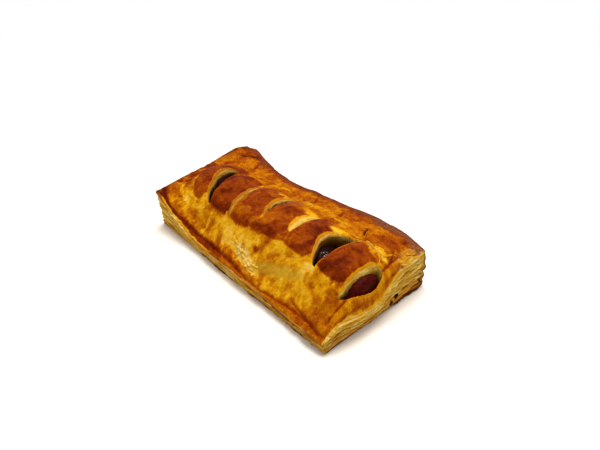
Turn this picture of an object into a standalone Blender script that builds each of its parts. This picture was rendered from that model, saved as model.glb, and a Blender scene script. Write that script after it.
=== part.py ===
"""A slit puff-pastry roll with a skinless sausage inside, in metres with +Z up.

+X runs along the roll to its low, wide-open end, +Y points to the folded long side, -Y to the
pressed long side, and the origin is under the middle of the bounding box, on the base.
The crust is one closed skin over a flat base. Its hollow is the sausage with a small gap
round it, and six crosswise slits open its top: four go through to the sausage, two stop in
the crust.
"""

import bpy
import bmesh
import numpy as np

MM = 0.001  # every size below is in millimetres

# Rims of the crust: the edge where the top turns down into the sides.
LEFT_X, RIGHT_X = -76.5, 82.0  # ends of the pressed long edge
PRESSED_Y = -41.6
PRESSED_WAVE = 0.4
# Share of the length, then how far out and how high the rim is there.
PRESSED_RIM = dict(at=(0.0, 0.12, 0.22, 0.5, 0.8, 1.0), z=(24.5, 15.5, 9.5, 7.8, 6.2, 5.6))
FOLDED_RIM = dict(
    at=(0.0, 0.05, 0.14, 0.33, 0.5, 0.66, 0.82, 0.93, 1.0),
    y=(39.4, 41.4, 39.0, 34.2, 36.8, 39.4, 41.6, 40.4, 38.4),
    z=(30.5, 30.0, 27.5, 25.0, 24.8, 24.6, 24.8, 23.8, 21.8),
)
# Share of the width, then the same for the two ends.
LEFT_RIM = dict(
    at=(0.0, 0.25, 0.5, 0.76, 0.92, 1.0),
    x=(-76.5, -77.6, -78.6, -82.6, -84.9, -83.4),
    z=(24.5, 27.0, 29.2, 31.2, 31.4, 30.5),
)
RIGHT_RIM = dict(
    at=(0.0, 0.12, 0.3, 0.48, 0.62, 0.78, 1.0),
    x=(82.0, 82.6, 84.6, 84.9, 83.4, 82.0, 81.2),
    z=(5.6, 12.5, 12.0, 12.5, 17.5, 21.5, 22.5),
)

# Base outline, a little inside the rims.
BASE_X = (-74.6, 83.2)
BASE_Y = (-40.4, 37.6)

# Crust top.
SHOULDER_Z = 28.0
CROWN = 4.4  # rise of the crest above the shoulders
CROWN_Y = -4.0
CROWN_WIDTH = 15.0
PRESSED_BAND = 4.0  # flat pressed strip along the front edge
PRESSED_RUN = 20.0  # from that strip up to the full height
FOLDED_RUN = 26.0
LEFT_RUN = 13.0
RIGHT_RUN = 14.0
STRIP_SWELL = 1.4
VALLEY_INSET = 8.0  # shallow dip between the closed end and the first strip
VALLEY_WIDTH = 3.2
VALLEY_DEPTH = 2.2
SEAM_DEPTH = 1.1  # groove between the two sheets on the cut sides
FOLD_BULGE = 0.9
LIP_RISE = 1.8  # rolled lip along the open end
LIP_INSET = 2.6
LIP_WIDTH = 1.9

# Sausage.
SAUSAGE_X = (-69.0, 81.2)
SAUSAGE_Y = (-3.2, -8.0)  # its line drifts from the left end to the right one
SAUSAGE_Z = (19.2, 16.2)  # and sinks, as the roll does
SAUSAGE_HALF_WIDTH = 12.2
SAUSAGE_HALF_HEIGHT = 10.2
BLUNTNESS = 50  # higher makes its ends squarer
GAP = 0.3

# Slits: x of the right-hand edge at mid length, the y range, how the edge leans along y and
# bows back at both tips, the width at the top and how much wider it gets toward the far tip,
# the share of it that the leaning left wall takes, how deep that wall goes, and z of the floor.
SLITS = (
    dict(x=-45.2, y=(-24, 10), lean=-0.4, bow=0, width=11.6, skew=0.25, wall=0.22, depth=3.4, floor=20.0),
    dict(x=-19.7, y=(-24, 5), lean=-0.2, bow=0, width=4.6, skew=0.10, wall=0.90, depth=4.0, floor=28.4),
    dict(x=2.2, y=(-13.5, 15), lean=-0.12, bow=0, width=7.0, skew=0.35, wall=0.36, depth=3.0, floor=24.0),
    dict(x=27.7, y=(-14, 10), lean=0, bow=0, width=7.8, skew=0.10, wall=0.85, depth=4.2, floor=27.8),
    dict(x=57.4, y=(-21.5, 9.5), lean=0.13, bow=0, width=15.0, skew=0.45, wall=0.14, depth=2.8, floor=16.0),
    dict(x=82.4, y=(-25, 4), lean=0.1, bow=6, width=8.0, skew=0.20, wall=0.12, depth=1.8, floor=11.0),
)
STRIP_X = (-63.0, -38.0, -15.0, 9.0, 33.5, 62.5)

# Mesh counts.
ALONG = 62
ACROSS = 34
WALL_RINGS = 4
SAUSAGE_RINGS = 26
SAUSAGE_SIDES = 22
SLIT_STATIONS = 11

CRUST_COLOUR = (0.60, 0.27, 0.06, 1.0)
SAUSAGE_COLOUR = (0.16, 0.03, 0.015, 1.0)


def clear_scene():
    for obj in list(bpy.data.objects):
        bpy.data.objects.remove(obj, do_unlink=True)


def smooth(t):
    t = np.clip(t, 0.0, 1.0)
    return t * t * (3.0 - 2.0 * t)


def rounded(t):
    """Rises at once and levels off, as the shoulder of a pillow does."""
    return 1.0 - (1.0 - np.clip(t, 0.0, 1.0)) ** 2


def through(u, at, values):
    """A cubic Hermite curve through the values, with its slopes taken from their neighbours."""
    at = np.asarray(at)
    values = np.asarray(values)
    slopes = np.gradient(values, at)
    k = np.clip(np.searchsorted(at, u, side="right") - 1, 0, len(at) - 2)
    span = at[k + 1] - at[k]
    f = (u - at[k]) / span
    start = (1.0 + 2.0 * f) * (1.0 - f) ** 2 * values[k] + f * (1.0 - f) ** 2 * span * slopes[k]
    end = f * f * (3.0 - 2.0 * f) * values[k + 1] + f * f * (f - 1.0) * span * slopes[k + 1]
    return start + end


def pressed_edge(s):
    x = LEFT_X + (RIGHT_X - LEFT_X) * s
    y = PRESSED_Y + PRESSED_WAVE * (1.0 + np.sin(9.0 * s + 0.6) * np.sin(np.pi * s))
    return np.stack([x, y, through(s, PRESSED_RIM["at"], PRESSED_RIM["z"])], -1)


def folded_edge(s):
    x = LEFT_RIM["x"][-1] + (RIGHT_RIM["x"][-1] - LEFT_RIM["x"][-1]) * s
    y = through(s, FOLDED_RIM["at"], FOLDED_RIM["y"])
    return np.stack([x, y, through(s, FOLDED_RIM["at"], FOLDED_RIM["z"])], -1)


def end_edge(t, rim, corners):
    y = corners[0][1] + (corners[1][1] - corners[0][1]) * t
    return np.stack([through(t, rim["at"], rim["x"]), y, through(t, rim["at"], rim["z"])], -1)


def crust_top(s, t):
    """The rims blended across the top, then lifted to the crest inside each edge's run."""
    front, back = pressed_edge(s), folded_edge(s)
    ends = np.array([0.0, 1.0])
    fl, fr = pressed_edge(ends)
    bl, br = folded_edge(ends)
    left = end_edge(t, LEFT_RIM, (fl, bl))
    right = end_edge(t, RIGHT_RIM, (fr, br))
    a, b = s[..., None], t[..., None]
    corners = (1 - a) * (1 - b) * fl + a * (1 - b) * fr + (1 - a) * b * bl + a * b * br
    top = (1 - b) * front + b * back + (1 - a) * left + a * right - corners
    x, y = top[..., 0], top[..., 1]
    from_front = y - front[..., 1]
    from_back = back[..., 1] - y
    from_left = x - left[..., 0]
    from_right = right[..., 0] - x
    lift = smooth((from_front - PRESSED_BAND) / PRESSED_RUN) * rounded(from_back / FOLDED_RUN)
    lift *= rounded(from_left / LEFT_RUN) * rounded(from_right / RIGHT_RUN)
    middle = smooth((y + 26.0) / 8.0) * smooth((17.0 - y) / 8.0)
    swell = sum(np.exp(-(((x - strip) / 7.0) ** 2)) for strip in STRIP_X)
    crest = SHOULDER_Z + CROWN * np.exp(-(((y - CROWN_Y) / CROWN_WIDTH) ** 2))
    top[..., 2] += lift * (crest + STRIP_SWELL * swell * middle - top[..., 2])
    valley = np.exp(-(((from_left - VALLEY_INSET) / VALLEY_WIDTH) ** 2))
    top[..., 2] -= VALLEY_DEPTH * valley * smooth((y + 22.0) / 10.0) * smooth((18.0 - y) / 12.0)
    lip = np.exp(-(((from_right - LIP_INSET) / LIP_WIDTH) ** 2))
    top[..., 2] += LIP_RISE * lip * smooth((y + 30.0) / 8.0) * smooth((20.0 - y) / 6.0)
    return top


def crust_mesh():
    """The top grid, its edge carried down in rings to the flat base, and one face under it."""
    s, t = np.meshgrid(np.linspace(0, 1, ALONG + 1), np.linspace(0, 1, ACROSS + 1), indexing="ij")
    top = crust_top(s, t)
    number = np.arange(s.size).reshape(s.shape)
    edge = np.concatenate([number[:-1, 0], number[-1, :-1], number[:0:-1, -1], number[0, :0:-1]])
    points = top.reshape(-1, 3)
    rim = points[edge]
    share = np.stack([s.ravel()[edge], t.ravel()[edge]], -1)
    base = np.zeros_like(rim)
    base[:, 0] = BASE_X[0] + (BASE_X[1] - BASE_X[0]) * share[:, 0]
    base[:, 1] = BASE_Y[0] + (BASE_Y[1] - BASE_Y[0]) * share[:, 1]
    outward = np.zeros_like(rim)
    outward[:, 0] = (share[:, 0] > 0.999) * 1.0 - (share[:, 0] < 0.001)
    outward[:, 1] = (share[:, 1] > 0.999) * 1.0 - (share[:, 1] < 0.001)
    folded = (share[:, 1] > 0.999)[:, None]
    rings = []
    for k in range(1, WALL_RINGS + 1):
        f = k / WALL_RINGS
        swing = np.sin(np.pi * f)
        push = np.where(folded, FOLD_BULGE * swing, -SEAM_DEPTH * swing * (k == 2))
        ring = rim + (base - rim) * f**1.6 + outward * push
        ring[:, 2] = rim[:, 2] * (1.0 - f)
        rings.append(ring)
    points = np.concatenate([points] + rings)
    quads = np.stack([number[:-1, :-1], number[1:, :-1], number[1:, 1:], number[:-1, 1:]], -1)
    faces = quads.reshape(-1, 4).tolist()
    upper = edge
    for k in range(WALL_RINGS):
        lower = s.size + k * len(edge) + np.arange(len(edge))
        wall = np.stack([upper, lower, np.roll(lower, -1), np.roll(upper, -1)], -1)
        faces += wall.tolist()
        upper = lower
    faces.append(upper[::-1].tolist())
    return points, faces


def sausage_mesh(grow):
    """Rings of an oval carried along the sausage's line, closed to a point at each round end."""
    turn = np.linspace(0, np.pi, SAUSAGE_RINGS + 1)[1:-1]
    along = -np.cos(turn)
    reach = (1.0 - np.abs(along) ** BLUNTNESS) ** 0.45
    angle = np.linspace(0, 2 * np.pi, SAUSAGE_SIDES, endpoint=False)
    middle = 0.5 * (SAUSAGE_X[0] + SAUSAGE_X[1])
    half = 0.5 * (SAUSAGE_X[1] - SAUSAGE_X[0]) + grow
    x = middle + half * along
    y = SAUSAGE_Y[0] + (SAUSAGE_Y[1] - SAUSAGE_Y[0]) * 0.5 * (1.0 + along)
    ring_y = y[:, None] + (SAUSAGE_HALF_WIDTH + grow) * reach[:, None] * np.cos(angle)
    z = SAUSAGE_Z[0] + (SAUSAGE_Z[1] - SAUSAGE_Z[0]) * 0.5 * (1.0 + along)
    ring_z = z[:, None] + (SAUSAGE_HALF_HEIGHT + grow) * reach[:, None] * np.sin(angle)
    rings = np.stack([np.broadcast_to(x[:, None], ring_y.shape), ring_y, ring_z], -1)
    poles = [[middle - half, SAUSAGE_Y[0], SAUSAGE_Z[0]], [middle + half, SAUSAGE_Y[1], SAUSAGE_Z[1]]]
    points = np.concatenate([rings.reshape(-1, 3), poles])
    number = np.arange(rings.shape[0] * SAUSAGE_SIDES).reshape(-1, SAUSAGE_SIDES)
    after = np.roll(number, -1, axis=1)
    quads = np.stack([number[:-1], number[1:], after[1:], after[:-1]], -1)
    faces = quads.reshape(-1, 4)[:, ::-1].tolist()
    low_pole, high_pole = len(points) - 2, len(points) - 1
    faces += [[low_pole, b, a] for a, b in zip(number[0].tolist(), after[0].tolist())]
    faces += [[high_pole, a, b] for a, b in zip(number[-1].tolist(), after[-1].tolist())]
    return points, faces


def surface_height(x, y):
    """Height of the crust top above each point, from three corrections of its length and width shares."""
    length, width = RIGHT_X - LEFT_X, FOLDED_RIM["y"][-1] - PRESSED_Y
    s, t = (x - LEFT_X) / length, (y - PRESSED_Y) / width
    for _ in range(3):
        top = crust_top(s, t)
        s = s + (x - top[..., 0]) / length
        t = t + (y - top[..., 1]) / width
    return crust_top(s, t)[..., 2]


def slit_mesh(slit):
    """A crescent wedge: a leaning left wall, a drop to a flat floor, an upright right wall, thin tips."""
    q = np.linspace(-1, 1, SLIT_STATIONS)
    open_share = np.sqrt(1.0 - 0.985 * q * q)
    low, high = slit["y"]
    y = 0.5 * (low + high) + 0.5 * (high - low) * q
    edge = slit["x"] + slit["lean"] * (y - 0.5 * (low + high)) - slit["bow"] * (1.0 - open_share)
    width = slit["width"] * (1.0 + slit["skew"] * q) * open_share
    left = edge - width
    foot = slit["wall"] * width
    surface = surface_height(left + 0.5 * width, y)
    depth = slit["depth"] * (0.35 + 0.65 * open_share)
    floor = surface - depth - 0.3 - np.maximum(surface - depth - slit["floor"], 0.0) * open_share
    over = surface + 8.0
    outline = (
        (left - 0.6, over),
        (left, surface),
        (left + 0.5 * foot, surface - 0.35 * depth),
        (left + foot, surface - depth),
        (left + foot + 0.1, floor),
        (edge + 0.2, floor),
        (edge + 0.2, over),
    )
    profile = np.stack([np.stack([x, y, z], -1) for x, z in outline], 1)
    points = profile.reshape(-1, 3)
    sides = len(outline)
    number = np.arange(len(points)).reshape(-1, sides)
    after = np.roll(number, -1, axis=1)
    faces = np.stack([number[:-1], number[1:], after[1:], after[:-1]], -1).reshape(-1, 4).tolist()
    faces.append(number[0].tolist())
    faces.append(number[-1, ::-1].tolist())
    return points, faces


def add_object(name, points, faces, material=None):
    mesh = bpy.data.meshes.new(name)
    mesh.from_pydata((np.asarray(points) * MM).tolist(), [], faces)
    work = bmesh.new()
    work.from_mesh(mesh)
    bmesh.ops.triangulate(work, faces=work.faces[:])
    bmesh.ops.recalc_face_normals(work, faces=work.faces[:])
    work.to_mesh(mesh)
    work.free()
    obj = bpy.data.objects.new(name, mesh)
    bpy.context.scene.collection.objects.link(obj)
    if material:
        mesh.materials.append(material)
        mesh.shade_smooth()
    else:
        obj.hide_render = True
        obj.display_type = "WIRE"
    return obj


def make_material(name, colour, roughness):
    material = bpy.data.materials.new(name)
    material.use_nodes = True
    shader = material.node_tree.nodes["Principled BSDF"]
    shader.inputs["Base Color"].default_value = colour
    shader.inputs["Roughness"].default_value = roughness
    shader.inputs["Metallic"].default_value = 0.0
    return material


def cut(target, cutter):
    modifier = target.modifiers.new(cutter.name, "BOOLEAN")
    modifier.operation = "DIFFERENCE"
    modifier.solver = "EXACT"
    modifier.object = cutter


def main():
    clear_scene()
    crust_finish = make_material("baked_crust", CRUST_COLOUR, 0.45)
    sausage_finish = make_material("sausage_skin", SAUSAGE_COLOUR, 0.35)
    crust = add_object("pastry", *crust_mesh(), crust_finish)
    cut(crust, add_object("hollow_cutter", *sausage_mesh(GAP)))
    for k, slit in enumerate(SLITS):
        cut(crust, add_object(f"slit_cutter_{k + 1}", *slit_mesh(slit)))
    add_object("sausage", *sausage_mesh(0.0), sausage_finish)


main()
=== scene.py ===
# Slit sausage roll: a puff-pastry parcel, baked brown on its strips and rims, round a dark sausage.
# Shapes are worked out in millimetres on grids of two parameters, and scaled to metres in the mesh.
from types import SimpleNamespace

import bpy
import numpy as np
from mathutils import Matrix, Vector


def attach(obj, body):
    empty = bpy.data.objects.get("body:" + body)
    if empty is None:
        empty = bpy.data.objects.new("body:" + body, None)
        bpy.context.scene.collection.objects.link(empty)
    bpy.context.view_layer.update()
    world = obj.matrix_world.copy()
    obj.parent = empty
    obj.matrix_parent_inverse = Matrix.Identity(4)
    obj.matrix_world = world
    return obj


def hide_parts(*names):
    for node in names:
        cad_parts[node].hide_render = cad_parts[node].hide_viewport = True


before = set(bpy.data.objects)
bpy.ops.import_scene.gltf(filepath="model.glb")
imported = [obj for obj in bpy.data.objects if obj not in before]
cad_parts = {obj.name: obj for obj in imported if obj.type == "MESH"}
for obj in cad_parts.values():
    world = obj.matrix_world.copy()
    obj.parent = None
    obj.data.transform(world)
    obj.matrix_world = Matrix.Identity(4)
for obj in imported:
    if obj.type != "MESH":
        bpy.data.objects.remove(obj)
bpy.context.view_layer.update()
mm = 0.001
print("frame loaded:", sorted(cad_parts))


# curves and noise used by every piece

def smooth(t):
    # 3t^2 - 2t^3, clamped to 0..1
    t = np.clip(t, 0.0, 1.0)
    return t * t * (3.0 - 2.0 * t)


def rounded(t):
    # 1 - (1 - t)^2: rises at once and levels off, like the shoulder of a pillow
    return 1.0 - (1.0 - np.clip(t, 0.0, 1.0)) ** 2


def within(a, low, high, rise, fall):
    # 1 between two places, reached over a run at each of them
    return smooth((a - low) / rise) * smooth((high - a) / fall)


def toward(value, target, share):
    # moves a value this share of the way to its target
    return value + (target - value) * share


def hump(d, width):
    # exp(-(d / width)^2)
    return np.exp(-(d / width) ** 2)


def through(u, at, values):
    # cubic Hermite curve through the values, slopes taken from the neighbours
    at, values = np.asarray(at), np.asarray(values)
    slopes = np.gradient(values, at)
    k = np.clip(np.searchsorted(at, u, side="right") - 1, 0, len(at) - 2)
    span = at[k + 1] - at[k]
    f = (u - at[k]) / span
    start = (1 + 2 * f) * (1 - f) ** 2 * values[k] + f * (1 - f) ** 2 * span * slopes[k]
    end = f * f * (3 - 2 * f) * values[k + 1] + f * f * (f - 1) * span * slopes[k + 1]
    return start + end


def lumps(x, y, size, seed):
    # random heights -1..1 on a square lattice of this cell size, blended smoothly between its corners
    table = np.random.default_rng(seed).uniform(-1, 1, (97, 89))
    u, v = x / size + 31.7, y / size + 17.3
    i, j = np.floor(u).astype(int), np.floor(v).astype(int)
    f, g = smooth(u - i), smooth(v - j)
    a, b = table[i % 97, j % 89], table[(i + 1) % 97, j % 89]
    c, d = table[i % 97, (j + 1) % 89], table[(i + 1) % 97, (j + 1) % 89]
    return (a * (1 - f) + b * f) * (1 - g) + (c * (1 - f) + d * f) * g


def roughness(x, y, size, seed, octaves=3):
    # lumps of halving size and height, turned a little each time
    total, height = 0.0, 1.0
    for k in range(octaves):
        turn = 0.7 + 1.3 * k
        u, v = x * np.cos(turn) + y * np.sin(turn), y * np.cos(turn) - x * np.sin(turn)
        total = total + height * lumps(u, v, size / 2 ** k, seed + k)
        height *= 0.5
    return total


def alongPath(x, y, points):
    # distance from each point to a bent line, and the share of the line's length at the nearest place
    points = np.asarray(points, float)
    lengths = np.hypot(*np.diff(points, axis=0).T)
    best, share, passed = np.full(np.shape(x), 1e9), np.zeros(np.shape(x)), 0.0
    for (ax, ay), (bx, by), length in zip(points[:-1], points[1:], lengths):
        f = np.clip(((x - ax) * (bx - ax) + (y - ay) * (by - ay)) / length ** 2, 0, 1)
        away = np.hypot(x - ax - f * (bx - ax), y - ay - f * (by - ay))
        share = np.where(away < best, (passed + f * length) / lengths.sum(), share)
        best = np.minimum(best, away)
        passed += length
    return best, share


def blob(x, y, at, size, turn=0.0, soft=0.45):
    # 1 inside a turned oval, falling to 0 over the soft share of its radius
    c, s = np.cos(np.radians(turn)), np.sin(np.radians(turn))
    u, v = x - at[0], y - at[1]
    r = np.hypot((u * c + v * s) / size[0], (v * c - u * s) / size[1])
    return smooth((1 + soft - r) / (2 * soft))


# crust: form, slits, relief and bake

crustForm = dict(
    leftX=-76.5, rightX=82.0, pressedY=-41.6, pressedWave=0.4,
    pressedAt=(0.0, 0.12, 0.22, 0.5, 0.8, 1.0), pressedZ=(24.5, 15.5, 9.5, 7.8, 6.2, 5.6),
    foldedAt=(0.0, 0.05, 0.14, 0.33, 0.5, 0.66, 0.82, 0.93, 1.0),
    foldedY=(39.4, 41.4, 39.0, 34.2, 36.8, 39.4, 41.6, 40.4, 38.4),
    foldedZ=(30.5, 30.0, 27.5, 25.0, 24.8, 24.6, 24.8, 23.8, 21.8),
    leftAt=(0.0, 0.25, 0.5, 0.76, 0.92, 1.0),
    leftRimX=(-76.5, -77.6, -78.6, -82.6, -84.9, -83.4), leftZ=(24.5, 27.0, 29.2, 31.2, 31.4, 30.5),
    rightAt=(0.0, 0.12, 0.3, 0.48, 0.62, 0.78, 1.0),
    rightRimX=(82.0, 82.6, 84.6, 84.9, 83.4, 82.0, 81.2), rightZ=(5.6, 12.5, 12.0, 12.5, 17.5, 21.5, 22.5),
    baseX=(-74.6, 83.2), baseY=(-40.4, 37.6),
    shoulderZ=28.0, crown=4.4, crownY=-4.0, crownWidth=15.0,
    pressedBand=4.0, pressedRun=20.0, foldedRun=26.0, leftRun=13.0, rightRun=14.0,
    stripX=(-63.0, -38.0, -15.0, 9.0, 33.5, 62.5), stripSwell=1.4,
    lipRise=1.8, lipInset=2.6, lipWidth=1.9, foldBulge=0.9,
    valleyInset=8.0, valleyWidth=3.2, valleyDepth=2.2,
)
# each slit: x of its right edge at mid length, y range, lean and bow of that edge, width at the top and how
# much wider it is at its far end, share of the width that its left wall takes, depth of that wall, floor,
# how pale its right edge is, how brown its raw wall, and the shares of that wall where raw dough begins and
# where its painted shade begins, the near-black of the hole (2 where it never does)
slits = [
    dict(x=-45.2, y=(-24.0, 10.0), lean=-0.40, bow=0.0, width=11.6, skew=0.25, wall=0.22, depth=3.4,
         floor=20.0, light=0.25, brown=0.85, bare=0.38, dark=0.88),
    dict(x=-19.7, y=(-24.0, 5.0), lean=-0.20, bow=0.0, width=4.6, skew=0.10, wall=0.90, depth=4.0,
         floor=28.4, light=0.50, brown=0.95, bare=0.16, dark=2.0),
    dict(x=2.2, y=(-13.5, 15.0), lean=-0.12, bow=0.0, width=7.0, skew=0.35, wall=0.36, depth=3.0,
         floor=24.0, light=0.70, brown=0.65, bare=0.38, dark=0.76),
    dict(x=27.7, y=(-14.0, 10.0), lean=0.0, bow=0.0, width=7.8, skew=0.10, wall=0.85, depth=4.2,
         floor=27.8, light=0.30, brown=0.10, bare=0.16, dark=2.0),
    dict(x=57.4, y=(-21.5, 9.5), lean=0.13, bow=0.0, width=15.0, skew=0.45, wall=0.14, depth=2.8,
         floor=16.0, light=1.00, brown=0.40, bare=0.38, dark=0.86),
    dict(x=82.4, y=(-25.0, 4.0), lean=0.10, bow=6.0, width=8.0, skew=0.20, wall=0.12, depth=1.8,
         floor=11.0, light=0.90, brown=0.20, bare=0.38, dark=1.0),
]


def rims(s, t):
    # the four edges of the top, each a curve of points
    c = crustForm
    frontX = c["leftX"] + (c["rightX"] - c["leftX"]) * s
    frontY = c["pressedY"] + c["pressedWave"] * (1 + np.sin(9 * s + 0.6) * np.sin(np.pi * s))
    front = np.stack([frontX, frontY, through(s, c["pressedAt"], c["pressedZ"])], -1)
    backX = c["leftRimX"][-1] + (c["rightRimX"][-1] - c["leftRimX"][-1]) * s
    backY, backZ = (through(s, c["foldedAt"], c[name]) for name in ("foldedY", "foldedZ"))
    back = np.stack([backX, backY, backZ], -1)
    y0 = c["pressedY"] + c["pressedWave"]
    leftY = y0 + (c["foldedY"][0] - y0) * t
    rightY = y0 + (c["foldedY"][-1] - y0) * t
    leftX, leftZ = (through(t, c["leftAt"], c[name]) for name in ("leftRimX", "leftZ"))
    left = np.stack([leftX, leftY, leftZ], -1)
    rightX, rightZ = (through(t, c["rightAt"], c[name]) for name in ("rightRimX", "rightZ"))
    right = np.stack([rightX, rightY, rightZ], -1)
    return front, back, left, right


def plainTop(s, t):
    # the four rims blended across the top (their sum less the corners' blend), then lifted to the crest
    c = crustForm
    front, back, left, right = rims(s, t)
    fl, bl, _, _ = (r[0] for r in rims(np.array([0.0]), np.array([0.0])))
    fr, br, _, _ = (r[0] for r in rims(np.array([1.0]), np.array([1.0])))
    a, b = s[..., None], t[..., None]
    corners = (1 - a) * (1 - b) * fl + a * (1 - b) * fr + (1 - a) * b * bl + a * b * br
    top = (1 - b) * front + b * back + (1 - a) * left + a * right - corners
    x, y = top[..., 0], top[..., 1]
    # mm inward from each rim
    inward = dict(
        front=y - front[..., 1], back=back[..., 1] - y, left=x - left[..., 0], right=right[..., 0] - x)
    lift = smooth((inward["front"] - c["pressedBand"]) / c["pressedRun"])
    lift = lift * rounded(inward["back"] / c["foldedRun"])
    lift = lift * rounded(inward["left"] / c["leftRun"]) * rounded(inward["right"] / c["rightRun"])
    swell = sum(hump(x - strip, 7.0) for strip in c["stripX"]) * within(y, -26, 17, 8, 8)
    crest = c["shoulderZ"] + c["crown"] * hump(y - c["crownY"], c["crownWidth"])
    top[..., 2] += lift * (crest + c["stripSwell"] * swell - top[..., 2])
    valley = hump(inward["left"] - c["valleyInset"], c["valleyWidth"]) * within(y, -22, 18, 10, 12)
    top[..., 2] -= c["valleyDepth"] * valley
    lip = hump(inward["right"] - c["lipInset"], c["lipWidth"]) * within(y, -30, 20, 8, 6)
    top[..., 2] += c["lipRise"] * lip + 0.5 * lumps(x, 0 * x, 7.0, 91) * hump(inward["back"], 6.0)
    return top, inward


def acrossSlits(x, y):
    # for each slit: mm right of its left wall's top edge, mm left of its right edge, width there,
    # and how open it is, sqrt(1 - q^2) with q running -1..1 along it
    found, zero = [], 0 * y
    for k, slit in enumerate(slits):
        low, high = slit["y"]
        mid, half = 0.5 * (low + high), 0.5 * (high - low)
        q = (y - mid) / half
        openShare = np.sqrt(np.clip(1 - q * q, 0, 1))
        ragged = 0.30 * lumps(y, 7.0 * k + zero, 2.6, 40 + k) + 0.12 * lumps(y, 3.0 * k + zero, 0.9, 50 + k)
        edge = slit["x"] + slit["lean"] * (y - mid) - slit["bow"] * (1 - openShare) + 0.5 * ragged
        width = slit["width"] * (1 + slit["skew"] * q) * openShare
        found.append((x - (edge - width + ragged * openShare), edge - x, width, openShare))
    return found


def cutSlits(x, y, z):
    # lowers the top inside each slit: a wall that curves down from the left as a^1.7, then a drop to the
    # floor, and an upright right wall; also returns five masks: raw dough, a strip's sharp left edge, the
    # painted shade down in a slit, the skin that curves over into it, and how brown its wall is
    lowered = z.copy()
    raw, sharp, deep, lipped, tone = (np.zeros_like(z) for _ in range(5))
    for slit, (fromLeft, fromRight, width, openShare) in zip(slits, acrossSlits(x, y)):
        isOpen = (width > 0.05) * smooth(openShare / 0.3)
        foot = slit["wall"] * width + 0.3
        wall = slit["depth"] * np.clip(fromLeft / foot, 0, 1) ** 1.7 * (0.35 + 0.65 * openShare)
        below = np.maximum(z - wall - slit["floor"], 0) * smooth((fromLeft - foot) / 0.7)
        lowered = lowered - (wall + below * openShare) * smooth(fromRight / 0.45) * isOpen
        beforeEdge = isOpen * smooth(fromRight / 0.25)
        inside = beforeEdge * (fromLeft > 0)
        bare = smooth((fromLeft - slit["bare"] * foot) / (0.3 + 0.2 * foot)) * inside
        raw = np.maximum(raw, bare)
        tone = tone + slit["brown"] * inside
        lipped = np.maximum(lipped, smooth((fromLeft + 0.5) / 0.5) * beforeEdge * (1 - bare))
        # painted shade: the lower wall of each open slit is coloured near-black where the hole lies in shade
        dark = smooth((fromLeft - slit["dark"] * foot) / (0.25 * foot + 0.15)) * inside
        deep = np.maximum(deep, dark * smooth((openShare - 0.2) / 0.35))
        crisp = smooth(0.6 + 0.9 * lumps(y, 0 * y, 2.2, 33)) * slit["light"]
        sharp = np.maximum(sharp, hump(fromRight + 0.35, 0.45) * isOpen * (fromLeft > 0) * crisp)
    return lowered, raw, sharp, deep, lipped, tone


# bake: places on the crust, all in mm, and how brown each is (0 raw dough .. 1 nearly burnt)

bakeForm = dict(
    frontX=(-72, -66, -62, -58, -54.5, -50, -47, -41, -39.8, -33.8, -27, -21, -20, -18.8, -15, -9, -2.4, 3,
            5.6, 11, 17, 24, 29, 31.6, 41, 45.4, 48.3, 50, 53, 55, 59.5, 64, 68.3, 71.8, 74.2, 75.5),
    frontY=(4, -12, -19, -24, -25.8, -25.6, -21.5, -21, -23.8, -24.6, -24.8, -25.0, -22.5, -23.8, -24.4,
            -24.8, -24.3, -22.8, -21.6, -22.4, -22.5, -21.7, -20.7, -21.3, -21.5, -21.4, -18.1, -16.5, -18,
            -20.7, -21.9, -22.2, -22.1, -21.6, -19.6, -17),
    backX=(-72, -66, -58, -50, -45, -40, -30, -24, -18, -12, -6, 2,
           8, 14, 20, 27, 34, 40, 46, 50, 56, 62, 68, 76),
    backY=(6, 15, 19, 18.5, 14, 12.5, 13.5, 8, 13.5, 15.5, 11, 13.5,
           15.5, 12, 8, 9.5, 14.5, 12.5, 7, 7.5, 9.5, 11.5, 8.4, 6),
    strips=(0.80, 0.85, 0.69, 0.73, 0.79, 0.85),
    slopeFront=0.42, slopeBack=0.57, shelf=0.66, backEdge=0.85,
)
pressedGroove = dict(
    x=(-78, -72, -65, -57, -48, -38, -25, -12, -4, 9, 20, 32, 42, 52, 64, 73, 82),
    inset=(3.2, 2.8, 1.9, 1.8, 2.9, 3.9, 4.1, 3.9, 3.2, 2.7, 1.3, 1.2, 2.4, 3.3, 3.8, 3.1, 2.4),
)
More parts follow.
